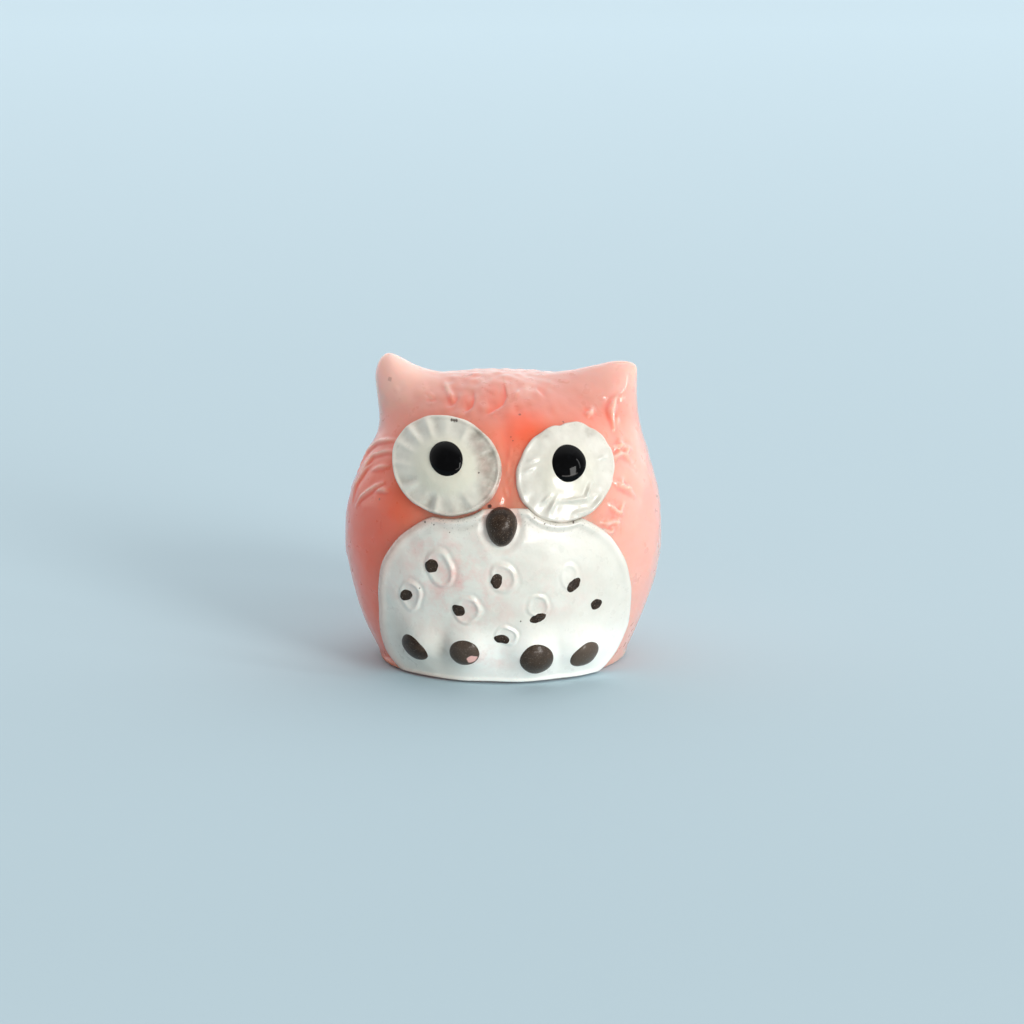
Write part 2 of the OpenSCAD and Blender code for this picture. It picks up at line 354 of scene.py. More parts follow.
def polar_solid(centre, reach, lift, sides, spacing, under=SINK):
    """Closed solid on the front of the casting with a star-shaped outline.

    spacing holds the rings' fractions of the outline's reach, from near 0 to 1. lift
    gives the top surface's height above the skin at (x, z, fraction). Returns points,
    faces and the (x, z, fraction) of every top point.
    """
    angle = np.arange(sides) * 2 * math.pi / sides
    rings = len(spacing)
    f = np.repeat(spacing, sides)
    a = np.tile(angle, rings)
    r = f * np.tile(reach(angle), rings)
    x = np.concatenate([[centre[0]], centre[0] + r * np.cos(a)])
    z = np.concatenate([[centre[1]], centre[1] + r * np.sin(a)])
    f = np.concatenate([[0.0], f])
    skin = front_skin(x, z)
    normals = skin_normals(skin)
    top = skin + normals * lift(x, z, f)[:, None]
    low_rings = [k for k in range(rings) if (k - rings) % LOW_RING_STEP == 0 or k == rings - 1]
    low_index = np.concatenate([[0]] + [1 + k * sides + np.arange(sides) for k in low_rings])
    low = skin[low_index] + normals[low_index] * under
    for surface in (low, top):
        surface[:, 2] = np.maximum(surface[:, 2], FLOOR_CLEARANCE)
    faces = [fan_faces(0, 1, sides)]
    for i in range(rings - 1):
        faces.append(ring_faces(1 + i * sides, 1 + (i + 1) * sides, sides, flip=True))
    base = len(top)
    faces.append(fan_faces(base, base + 1, sides, flip=True))
    for i in range(len(low_rings) - 1):
        faces.append(ring_faces(base + 1 + i * sides, base + 1 + (i + 1) * sides, sides))
    last_top = 1 + (rings - 1) * sides
    last_low = base + 1 + (len(low_rings) - 1) * sides
    faces.append(ring_faces(last_top, last_low, sides, flip=True))
    return np.concatenate([top, low]), faces, (x, z, f)


def edge_spacing(count, crowd):
    """Ring fractions from near 0 to 1 that crowd towards the edge."""
    t = (np.arange(count) + 1) / count
    return 1 - (1 - t) ** crowd


def rounded_edge(f, width, power=2.2):
    """1 inside, falling to 0 at f = 1 along a rounded edge of the given relative width."""
    t = np.clip((f - (1 - width)) / width, 0, 1)
    return (1 - t ** power) ** (1 / power)


DETAIL = 1.0
FEWEST = 12


def detail(count):
    return max(FEWEST, int(count * DETAIL))


# ---- node materials

# Colour sockets of the Mix node, whose names repeat for each type of data.
MIX_FIRST, MIX_SECOND, MIX_RESULT = 6, 7, 2


def new_material(name):
    """Material, its node tree and its Principled shader."""
    material = bpy.data.materials.new(name)
    material.use_nodes = True
    tree = material.node_tree
    shader = tree.nodes["Principled BSDF"]
    return material, tree, shader


def add(tree, kind, **values):
    """New node; each value goes to the input of that name, or else to the node itself."""
    node = tree.nodes.new(kind)
    for key, value in values.items():
        if key in node.inputs.keys():
            node.inputs[key].default_value = value
        else:
            setattr(node, key, value)
    return node


def millimetres(tree):
    """Object coordinates in millimetres."""
    place = tree.nodes.new("ShaderNodeTexCoord")
    scaled = add(tree, "ShaderNodeMapping", Scale=(1000, 1000, 1000))
    tree.links.new(place.outputs["Object"], scaled.inputs["Vector"])
    return scaled.outputs["Vector"]


def noise(vector, size, detail_levels=3.0, roughness=0.5, stretch=None):
    """Noise whose features are about the given size in millimetres."""
    tree = vector.id_data
    if stretch:
        squeezed = add(tree, "ShaderNodeMapping", Scale=stretch)
        tree.links.new(vector, squeezed.inputs["Vector"])
        vector = squeezed.outputs["Vector"]
    node = add(tree, "ShaderNodeTexNoise", Scale=1 / size, Detail=detail_levels, Roughness=roughness)
    tree.links.new(vector, node.inputs["Vector"])
    return node.outputs["Fac"]


def attribute(tree, name):
    node = add(tree, "ShaderNodeAttribute", attribute_name=name)
    return node.outputs["Fac"]


def ramp(factor, low, high, to_low=0.0, to_high=1.0):
    """Linear step of a factor from low..high to the range given, clamped."""
    tree = factor.id_data
    limits = {"From Min": low, "From Max": high, "To Min": to_low, "To Max": to_high}
    node = add(tree, "ShaderNodeMapRange", **limits)
    tree.links.new(factor, node.inputs["Value"])
    return node.outputs["Result"]


def maths(operation, a, b):
    """Sum or product of an output and of another output or a number."""
    tree = a.id_data
    node = add(tree, "ShaderNodeMath", operation=operation)
    for socket, value in zip(node.inputs, (a, b)):
        if isinstance(value, (int, float)):
            socket.default_value = value
        else:
            tree.links.new(value, socket)
    return node.outputs["Value"]


def blend_colour(factor, first, second):
    """Mix of two colours, each an RGB triple or another node's output."""
    tree = factor.id_data
    node = add(tree, "ShaderNodeMix", data_type="RGBA")
    tree.links.new(factor, node.inputs["Factor"])
    for index, value in ((MIX_FIRST, first), (MIX_SECOND, second)):
        socket = node.inputs[index]
        if isinstance(value, tuple):
            socket.default_value = (*value, 1)
        else:
            tree.links.new(value, socket)
    return node.outputs[MIX_RESULT]


def bump(shader, layers):
    """Chain of bumps: each layer is (height output, depth in millimetres)."""
    tree = shader.id_data
    previous = None
    for height, depth in layers:
        node = add(tree, "ShaderNodeBump", Distance=depth * MM, Strength=1.0)
        tree.links.new(height, node.inputs["Height"])
        if previous is not None:
            tree.links.new(previous, node.inputs["Normal"])
        previous = node.outputs["Normal"]
    tree.links.new(previous, shader.inputs["Normal"])


def masked(mask, factor):
    """A factor that only counts where a point attribute is set."""
    return maths("MULTIPLY", attribute(factor.id_data, mask), factor)


def finish_shader(shader, colour, rough, values):
    """Link the colour and the roughness, and set the values that are the same all over."""
    tree = shader.id_data
    tree.links.new(colour, shader.inputs["Base Color"])
    tree.links.new(rough, shader.inputs["Roughness"])
    for name, value in values.items():
        shader.inputs[name].default_value = value


def srgb(text):
    """Linear colour of a hex sRGB string."""
    parts = [int(text[i:i + 2], 16) / 255 for i in (0, 2, 4)]
    return tuple(c / 12.92 if c <= 0.04045 else ((c + 0.055) / 1.055) ** 2.4 for c in parts)


PAINT = {name: srgb(text) for name, text in {
    "resin": "f28b73", "resin cloud": "f49681", "resin streak": "ed7b61",
    "resin crown": "d28979", "resin deep": "ed633e", "resin pale": "e6bdb1",
    "stray dot": "4a2a22",
    "white": "e3e1d8", "white cloud": "d8d6cc", "fresh white": "f4f5ef", "thin white": "e2b2aa",
    "cream": "dedccb", "bare": "ee9a86", "grime_and_shade": "8d8275", "dust": "3b3531",
    "white dot": "4a3a30",
    "black": "030304", "black bloom": "0a0b0d",
    "brown": "241912", "brown streak": "3b2c20", "speckle": "857a70", "lit_tint": "6c6055",
    "chip": "e2b3ab",
}.items()}

# Stray paint dots and pits on the casting: across, up, radius, strength.
STRAY_DOTS = (
    (7.02, 18.8, 0.13, 0.9), (1.05, 16.6, 0.09, 0.7), (3.74, 16.05, 0.07, 0.7),
    (0.49, 15.45, 0.07, 0.7), (0.62, 15.25, 0.05, 0.7), (-2.0, 18.23, 0.16, 0.35),
    (-7.63, 11.24, 0.09, 0.6), (-7.08, 18.0, 0.16, 0.3), (-0.8, 11.6, 0.15, 1.0),
)
# Brown flecks on the white enamel: across, up, radius.
WHITE_DOTS = (
    (-3.14, 16.31, 0.1), (-3.0, 16.3, 0.11), (-2.86, 16.31, 0.1), (-1.45, 13.6, 0.06),
    (2.57, 10.6, 0.06), (4.33, 10.52, 0.06), (-4.76, 10.53, 0.06), (-4.22, 10.41, 0.05),
    (-3.24, 10.02, 0.05), (1.95, 10.98, 0.05), (1.11, 4.4, 0.06), (-5.12, 6.31, 0.05),
)
WHITE_DOT_STRENGTH = 0.9
# How much a dot's edge wanders, and where it starts and stops to fade, in radii.
DOT_RAGGED = 1.2
DOT_FADE = (1.25, 1.7)


def dot_mask(mm, ragged, centre, radius, strength):
    """1 inside a small ragged blot round a point, 0 outside."""
    tree = mm.id_data
    away = add(tree, "ShaderNodeVectorMath", operation="DISTANCE")
    tree.links.new(mm, away.inputs[0])
    away.inputs[1].default_value = tuple(map(float, centre))
    wander = maths("MULTIPLY", ragged, radius * DOT_RAGGED)
    wobbly = maths("ADD", away.outputs["Value"], wander)
    return ramp(wobbly, radius * DOT_FADE[0], radius * DOT_FADE[1], strength, 0)


def resin_material():
    """Cloudy pink casting resin. Its masks carry painted light and shade: painted shade, redder and
    darker, in the creases and on the -X cheek; painted light that pales the thin ears, the +X cheek and
    the top; and a darker crown.
    """
    material, tree, shader = new_material("pink_resin")
    mm = millimetres(tree)
    cloud = noise(mm, 4.0, 3.0, 0.55)
    streak = noise(mm, 1.3, 4.0, 0.6, stretch=(1.0, 1.0, 0.5))
    colour = blend_colour(ramp(cloud, 0.35, 0.65), PAINT["resin"], PAINT["resin cloud"])
    streaked = ramp(streak, 0.45, 0.75, 0, 0.4)
    colour = blend_colour(streaked, colour, PAINT["resin streak"])
    # Crown darkens the top of the head, deep is painted shade with a painted glow between the eyes, and
    # pale is painted light with painted highlights.
    for mask in ("crown", "deep", "pale"):
        colour = blend_colour(attribute(tree, mask), colour, PAINT["resin " + mask])
    ragged = noise(mm, 0.12, 2.0)
    for x, z, radius, strength in STRAY_DOTS:
        centre = front_skin(np.array([x]), np.array([z]))[0]
        blot = dot_mask(mm, ragged, centre, radius, strength)
        colour = blend_colour(blot, colour, PAINT["stray dot"])
    rough = ramp(noise(mm, 0.8, 3.0), 0.3, 0.7, 0.26, 0.36)
    finish_shader(shader, colour, rough, {
        "Subsurface Weight": 0.8, "Subsurface Radius": (1.0, 0.3, 0.2),
        "Subsurface Scale": 3.2 * MM, "Specular IOR Level": 0.35, "Coat Weight": 0.85,
        "Coat Roughness": 0.06,
    })
    bump(shader, [
        (noise(mm, 1.2, 2.0), 0.03),
        (noise(mm, 0.35, 2.0), 0.005),
    ])
    return material


def white_material():
    """Brushed white enamel, thin enough in places for the pink casting to tint it, with painted shade
    and painted light laid on by its masks.
    """
    material, tree, shader = new_material("white_enamel")
    mm = millimetres(tree)
    cloud = noise(mm, 2.6, 4.0, 0.6)
    colour = blend_colour(ramp(cloud, 0.35, 0.65), PAINT["white"], PAINT["white cloud"])
    brushed = ramp(noise(mm, 1.5, 5.0, 0.65), 0.42, 0.68)
    blotchy = ramp(noise(mm, 0.5, 3.0), 0.35, 0.65, 0.5, 1.0)
    dusted = ramp(noise(mm, 0.11, 1.0), 0.66, 0.7)
    # The low-belly whitening is painted light, and the grime mask holds real grime together with painted
    # shade; thin, cream, bare and dust are the paint's own colour.
    for factor, paint in ((attribute(tree, "lit_low"), "fresh white"),
                          (masked("thin", brushed), "thin white"),
                          (attribute(tree, "cream"), "cream"),
                          (attribute(tree, "bare"), "bare"),
                          (masked("grime_and_shade", blotchy), "grime_and_shade"),
                          (masked("dust", dusted), "dust")):
        colour = blend_colour(factor, colour, PAINT[paint])
    ragged = noise(mm, 0.12, 2.0)
    # All the white enamel faces forward, so a fleck needs no depth of its own.
    flat = add(tree, "ShaderNodeMapping", Scale=(1, 0, 1))
    tree.links.new(mm, flat.inputs["Vector"])
    for x, z, radius in WHITE_DOTS:
        centre = (x, 0, z)
        blot = dot_mask(flat.outputs["Vector"], ragged, centre, radius, WHITE_DOT_STRENGTH)
        colour = blend_colour(blot, colour, PAINT["white dot"])
    rough = ramp(noise(mm, 0.8, 3.0), 0.3, 0.7, 0.24, 0.42)
    finish_shader(shader, colour, rough, {
        "Subsurface Weight": 0.12, "Subsurface Radius": (0.5, 0.3, 0.25),
        "Subsurface Scale": 0.5 * MM, "Coat Weight": 0.6, "Coat Roughness": 0.14,
    })
    bump(shader, [
        (noise(mm, 0.9, 3.0, 0.55), 0.03),
        (noise(mm, 0.25, 2.0), 0.005),
    ])
    return material


def black_material():
    """Thick drop of black gloss enamel with a faint blue-grey bloom."""
    material, tree, shader = new_material("black_enamel")
    mm = millimetres(tree)
    bloom = ramp(noise(mm, 0.35, 4.0), 0.5, 0.8)
    colour = blend_colour(bloom, PAINT["black"], PAINT["black bloom"])
    rough = ramp(noise(mm, 0.25, 3.0), 0.35, 0.7, 0.2, 0.34)
    finish_shader(shader, colour, rough, {
        "Specular IOR Level": 0.0, "Coat Weight": 0.22, "Coat Roughness": 0.07,
    })
    bump(shader, [(noise(mm, 0.3, 2.0), 0.008), (noise(mm, 0.08, 1.0), 0.003)])
    return material


def brown_material():
    """Satin brown enamel, a little streaky, chipped to the casting where marked, and painted a lighter
    brown as painted light on the claws that catch more light.
    """
    material, tree, shader = new_material("brown_enamel")
    mm = millimetres(tree)
    streak = noise(mm, 0.45, 4.0, 0.6)
    colour = blend_colour(ramp(streak, 0.35, 0.7), PAINT["brown"], PAINT["brown streak"])
    speckle = ramp(noise(mm, 0.07, 1.0), 0.62, 0.72, 0, 0.5)
    colour = blend_colour(speckle, colour, PAINT["speckle"])
    # The lighter brown is painted light on the claws; the chip shows the casting.
    for mask in ("lit_tint", "chip"):
        colour = blend_colour(attribute(tree, mask), colour, PAINT[mask])
    rough = ramp(streak, 0.3, 0.7, 0.28, 0.45)
    finish_shader(shader, colour, rough, {
        "Specular IOR Level": 0.15, "Coat Weight": 0.22, "Coat Roughness": 0.12,
    })
    bump(shader, [(noise(mm, 0.3, 3.0), 0.012), (noise(mm, 0.08, 1.0), 0.003)])
    return material


RESIN = resin_material()
WHITE = white_material()
BLACK = black_material()
BROWN = brown_material()


# ---- the casting

# Raised feather edges on the cheeks: points along each, and its height.
CHEEK_STROKES = (
    (1.0, (-6.5, -2.9, 14.62), (-6.82, -2.49, 14.56), (-7.76, -1.14, 14.13), (-8.43, -0.27, 13.37),
     (-8.89, 0.06, 12.56), (-9.13, -0.17, 11.97)),
    (1.0, (-6.6, -3.4, 14.03), (-7.3, -2.6, 13.85), (-8.03, -1.7, 13.42), (-8.54, -1.46, 12.66),
     (-8.93, -1.38, 11.87), (-9.26, -1.26, 11.07)),
    (0.6, (-7.1, -3.65, 13.15), (-7.62, -3.07, 12.98), (-8.13, -2.49, 12.65)),
    (0.9, (-7.41, -4.0, 12.19), (-7.95, -3.49, 11.84), (-8.8, -2.59, 10.98), (-9.16, -2.22, 10.28)),
    (0.8, (-7.02, -4.64, 11.8), (-7.4, -4.2, 11.82), (-7.85, -3.75, 11.6)),
    (0.9, (-8.2, -2.1, 12.95), (-8.47, -1.75, 12.6), (-9.12, -1.32, 11.41), (-9.45, -1.34, 10.32)),
    (0.7, (-8.9, 0.9, 13.1), (-9.3, 0.8, 12.0), (-9.55, 0.6, 10.8)),
    (1.4, (7.2, -0.8, 17.05), (6.85, -1.23, 16.65), (6.66, -1.61, 16.29), (6.83, -1.94, 15.72),
     (6.9, -2.35, 15.18)),
    (1.1, (5.15, -2.56, 16.2), (5.52, -2.34, 16.28)),
    (1.5, (6.6, -3.4, 14.32), (7.18, -2.82, 14.26), (7.75, -2.1, 13.95), (8.3, -1.6, 13.4)),
    (1.5, (6.15, -4.2, 13.85), (6.73, -3.76, 13.72), (7.3, -3.1, 13.85), (7.62, -2.78, 13.6),
     (8.1, -2.4, 12.9)),
    (1.6, (6.85, -4.55, 12.45), (7.2, -4.35, 12.1), (7.72, -3.94, 11.79), (8.2, -3.5, 11.2)),
    (1.4, (6.6, -5.35, 11.2), (7.08, -5.13, 10.62), (7.46, -4.82, 10.42)),
    (1.4, (6.15, -6.05, 10.2), (6.45, -5.82, 10.04), (6.89, -5.44, 10.13), (7.2, -5.35, 9.7)),
    (1.2, (6.0, -6.2, 9.8), (6.4, -5.95, 9.6), (6.8, -5.7, 9.4)),
    (0.7, (8.6, -1.2, 13.1), (9.1, -1.2, 11.9), (9.35, -1.2, 10.8)),
)
# Feather tips on the brow: depth, how far each scoop fades upward, and the points of its edge.
BROW_FEATHERS = (
    (1.0, 0.75, (-0.05, 18.3), (0.05, 18.06), (0.17, 17.78), (0.25, 17.4), (0.02, 17.06), (-0.31, 16.87),
     (-0.74, 16.66), (-1.23, 16.5)),
    (0.9, 0.5, (-1.9, 17.8), (-1.8, 17.56), (-1.74, 17.25), (-1.88, 16.9), (-2.2, 16.7),
     (-2.5, 16.64)),
    (0.7, 0.45, (-2.85, 17.5), (-2.8, 17.25), (-2.95, 16.98), (-3.25, 16.85), (-3.6, 16.82)),
    (0.5, 0.4, (-4.05, 17.2), (-4.2, 17.02), (-4.55, 16.95), (-4.85, 17.0)),
    (0.4, 0.5, (2.7, 17.3), (2.45, 17.42), (2.2, 17.6), (2.05, 17.85)),
)
# Patches on the brow, the first table painted shade and the second painted highlight: across, up, half
# length, half width, turn, strength.
BROW_SHADE = (
    (-3.25, 17.12, 0.45, 0.35, 30, 0.6), (-1.88, 18.27, 0.45, 0.22, 20, 0.5),
    (-0.6, 17.5, 0.75, 0.55, 40, 0.5), (-2.25, 17.15, 0.45, 0.4, 30, 0.5),
    (0.95, 16.6, 0.8, 0.5, 0, 0.4),
)
BROW_HIGHLIGHTS = (
    (-3.5, 17.6, 0.42, 0.22, -40, 0.8), (-4.62, 17.18, 0.42, 0.12, -18, 0.8),
    (-1.1, 18.2, 0.6, 0.3, 10, 0.5), (-6.0, 17.9, 0.6, 0.4, 0, 0.5),
    (1.6, 17.8, 0.6, 0.35, 20, 0.4),
)
STROKE_HEIGHT = 0.19
STROKE_WIDTH = 0.14
SCOOP_DEPTH = 0.13
LIP_HEIGHT = 0.03
# Small lumps, most of them on the owl's left cheek: across, up, along, across, turn, height.
LUMPS = (
    (5.5, 16.3, 0.22, 0.16, 60, 0.9), (6.9, 16.35, 0.4, 0.15, 75, 1.2),
    (7.45, 16.85, 0.16, 0.14, 0, 0.9), (7.1, 15.6, 0.3, 0.13, 80, 0.9),
    (7.2, 14.25, 0.34, 0.15, 70, 1.2), (7.7, 13.85, 0.18, 0.16, 20, 1.1),
    (6.9, 13.5, 0.3, 0.12, 50, 0.8), (7.3, 12.25, 0.24, 0.15, 60, 1.1),
    (7.65, 11.85, 0.2, 0.13, 20, 0.9), (7.3, 10.75, 0.3, 0.14, 60, 1.1),
    (7.0, 10.05, 0.26, 0.15, 50, 1.2), (6.45, 10.25, 0.18, 0.14, 20, 0.9),
    (6.7, 9.55, 0.24, 0.12, 50, 0.8), (0.46, 14.6, 0.26, 0.12, 80, 0.3),
    (0.3, 13.8, 0.34, 0.12, 85, 0.35), (0.44, 13.1, 0.2, 0.11, 60, 0.3),
    (0.2, 12.45, 0.3, 0.12, 110, 0.3), (-0.1, 11.95, 0.2, 0.12, 90, 0.25),
    (-3.45, 17.65, 0.26, 0.12, -50, 0.7), (-3.2, 17.3, 0.22, 0.13, -60, 0.8),
    (-4.45, 17.25, 0.2, 0.1, -30, 0.6), (-6.63, 17.47, 0.09, 0.09, 0, 0.5),
    (0.9, 17.55, 0.26, 0.12, 40, 0.5),
)
LUMP_HEIGHT = 0.24


def small_lumps(x, z, lumps):
    lift = np.zeros_like(x)
    for cx, cz, long, short, turn, height in lumps:
        along, across = turned(x - cx, z - cz, turn)
        lift += LUMP_HEIGHT * height * np.exp(-(along / long) ** 2 - (across / short) ** 2)
    return lift


def stroke_ridges(p, strokes):
    """Ridges along polylines, each fading out at its two ends, and the bands beside them."""
    lift, beside = np.zeros(len(p)), np.zeros(len(p))
    for height, *stations in strokes:
        line = np.array(stations)
        lengths = np.linalg.norm(np.diff(line, axis=0), axis=1)
        total, run = lengths.sum(), 0.0
        nearest, along = np.full(len(p), FAR_AWAY), np.zeros(len(p))
        for start, end, length in zip(line[:-1], line[1:], lengths):
            t = np.clip((p - start) @ (end - start) / length ** 2, 0, 1)
            d = np.linalg.norm(p - start - t[:, None] * (end - start), axis=1)
            along = np.where(d < nearest, run + t * length, along)
            nearest = np.minimum(nearest, d)
            run += length
        taper = step(0, 0.3, along / total) * step(1, 0.6, along / total)
        width = STROKE_WIDTH * (0.75 + 0.35 * taper)
        height = height * (0.35 + 0.65 * taper)
        lift = np.maximum(lift, height * bell(nearest, 0, width))
        beside = np.maximum(beside, height * bell(nearest, 0, 3 * width))
    return lift, beside - lift


def brow_scallops(x, z):
    """Scooped feather tips with a sharp lower edge: their relief, and painted shade inside the scoops.
    """
    lift, deep = np.zeros_like(x), np.zeros_like(x)
    for strength, fade, *stations in BROW_FEATHERS:
        line = np.array(stations)
        lengths = np.linalg.norm(np.diff(line, axis=0), axis=1)
        nearest, side = np.full(len(x), FAR_AWAY), np.ones(len(x))
        along, run = np.zeros(len(x)), 0.0
        for start, end, length in zip(line[:-1], line[1:], lengths):
            way = (end - start) / length
            dx, dz = x - start[0], z - start[1]
            t = np.clip(dx * way[0] + dz * way[1], 0, length)
            d = np.hypot(dx - t * way[0], dz - t * way[1])
            closer = d < nearest
            nearest = np.where(closer, d, nearest)
            # The scoop lies to the right of the way along the edge.
            side = np.where(closer, np.sign(way[0] * dz - way[1] * dx), side)
            along = np.where(closer, (run + t) / lengths.sum(), along)
            run += length
        taper = step(0, 0.3, along) * step(1, 0.75, along)
        signed = np.where(side < 0, nearest, -nearest)
        scoop = np.exp(-np.maximum(signed, 0) / fade) * step(-0.08, 0.08, signed)
        lip = bell(signed, -0.12, 0.12)
        lift += strength * taper * (LIP_HEIGHT * lip - SCOOP_DEPTH * scoop)
        deep = np.maximum(deep, strength * taper * scoop)
    return lift, deep


def soft_patches(x, z, patches):
    """Strongest of some soft elliptical patches at each point."""
    strongest = np.zeros_like(x)
    for cx, cz, long, short, turn, strength in patches:
        along, across = turned(x - cx, z - cz, turn)
        spread = (along / long) ** 2 + (across / short) ** 2
        strongest = np.maximum(strongest, strength * np.exp(-spread))
    return strongest


# Feathers on the back: relief, distance between rows, drop of a tip, and width in degrees.
BACK_HEIGHT = 0.14
BACK_ROW = 2.1
BACK_TIP = 0.9
BACK_PERIOD = 30.0


def back_feathers(p):
    """Low rows of scalloped feathers round the sides and back."""
    azimuth = np.degrees(np.arctan2(p[:, 0], p[:, 1] - SETBACK))
    level = p[:, 2] / BACK_ROW
    lift = np.zeros(len(p))
    for parity in (0, 1):
        s = ((azimuth / BACK_PERIOD + 0.5 * parity) % 1.0) * 2 - 1
        edge = BACK_TIP / BACK_ROW * (1 - np.sqrt(np.clip(1 - s * s * 0.96, 0, 1)))
        v = (level - edge + parity) / 2
        up = v - np.floor(v)
        shingle = np.exp(-up * 6.0) * step(0.0, 0.08, up)
        lift = np.maximum(lift, shingle * (1 - s ** 6))
    fade = step(100, 80, np.abs(azimuth)) * step(3.0, 5.0, p[:, 2])
    return BACK_HEIGHT * lift * (fade * step(15.0, 12.5, p[:, 2]))


def ellipse_distance(x, z, disc):
    """Rough signed distance in mm outside an ellipse."""
    cx, cz, half_w, half_h = disc
    d = np.hypot((x - cx) / half_w, (z - cz) / half_h)
    return (d - 1) * (half_w + half_h) / 2


def disc_shade(x, z, fade, left_strength=1.0):
    """1 beside the eye discs, fading over the given distance in mm."""
    shade = np.zeros_like(x)
    for disc, strength in ((LEFT_DISC, left_strength), (RIGHT_DISC, 1.0)):
        gap = np.maximum(ellipse_distance(x, z, disc), 0)
        shade = np.maximum(shade, strength * np.exp(-gap / fade))
    return shade


# Depth of the groove between the eyes, and how far the painted shade round the discs reaches.
VALLEY_DEPTH = 0.12
DISC_SHADE_FADE = 0.55
# Painted light glowing through each thin ear, as paleness: how far it reaches, and its strength.
EAR_PALENESS = ((1.1, 0.95), (1.5, 1.2))


def casting_relief(p):
    """Relief of the casting in mm, and its colour masks: deep for painted shade, pale for painted light
    and painted highlights, and crown, which darkens the top of the head.
    """
    x, z = p[:, 0], p[:, 2]
    front = step(SETBACK + 0.4, SETBACK - 0.8, p[:, 1])
    stroke, beside = stroke_ridges(p, CHEEK_STROKES)
    brow, brow_shade = brow_scallops(x, z)
    valley = bell(x, 0.22, 0.42) * step(16.6, 15.2, z) * step(10.8, 11.6, z)
    brow_mask = bell(x, -1.0, 4.5) * step(15.8, 16.8, z)
    uneven = 0.03 * ripple(p, 4.5, 21) + 0.008 * ripple(p, 1.6, 22)
    uneven += 0.02 * brow_mask * ripple(p, 0.9, 23)
    lumps = small_lumps(x, z, LUMPS)
    strokes = STROKE_HEIGHT * (stroke - 0.25 * beside)
    lift = front * (strokes + brow + lumps - VALLEY_DEPTH * valley)
    lift = lift + back_feathers(p) + uneven
    near_disc = disc_shade(x, z, DISC_SHADE_FADE)
    # Painted glow: a deeper orange in the crease above and between the eyes, light glowing through the
    # resin there, partly the resin's own tint.
    glow = np.exp(-(((x - 1.5) / 1.5) ** 2 + ((z - 15.6) / 0.9) ** 2))
    left_cheek = step(-2.5, -8.0, x) * step(17.8, 14.5, z)
    # Darker towards the top of the head.
    crown = step(14.8, 17.0, z)
    brow_shade = np.maximum(brow_shade, soft_patches(x, z, BROW_SHADE))
    # Painted shade: beside the discs, in the groove between the eyes, in the brow scoops, in bands
    # beside the cheek ridges, and over the -X side of the face, away from the light.
    deep = 0.3 * near_disc + 0.1 * valley + 0.9 * glow + 0.8 * brow_shade
    deep = front * np.clip(deep + left_cheek + 0.5 * beside, 0, 1)
    u = (p - CENTRE) / np.linalg.norm(p - CENTRE, axis=1)[:, None]
    # Painted light: pale where light glows through the thin ears, on the +X cheek that faces the light,
    # and as painted highlights along the cheek ridges, on the lumps and on the brow; it also pales the
    # top of the head.
    pale = np.zeros(len(p))
    for ear, (reach, strength) in zip(EARS, EAR_PALENESS):
        spread, _ = ear_spread(u, ear)
        pale = np.maximum(pale, strength * bell(spread, 0, reach))
    crest = 0.3 * step(17.2, 18.9, z)
    lit_side = 0.6 * step(3.0, 8.5, x) * step(17.5, 14.0, z)
    glints = 0.7 * np.clip(lumps / LUMP_HEIGHT, 0, 1) * step(3.0, 4.5, x)
    brow_highlight = soft_patches(x, z, BROW_HIGHLIGHTS)
    edges = 0.7 * np.minimum(stroke, 1)
    pale = np.max([pale, crest, lit_side, edges, glints, brow_highlight], axis=0)
    return lift, {"deep": deep, "pale": pale, "crown": crown}


CASTING_SIDES = 430
CASTING_RINGS = 205
# Columns crowd towards the front, where the face is.
FRONT_CROWDING = 0.45
BASE_RINGS = 6
# Height over which the relief fades in above the floor.
RELIEF_FADE = 0.8


def directions(fall, azimuth):
    """Unit directions at some angles down from the top and round the upright axis."""
    across = np.sin(fall)
    return np.stack([across * np.cos(azimuth), across * np.sin(azimuth), np.cos(fall)], 1)


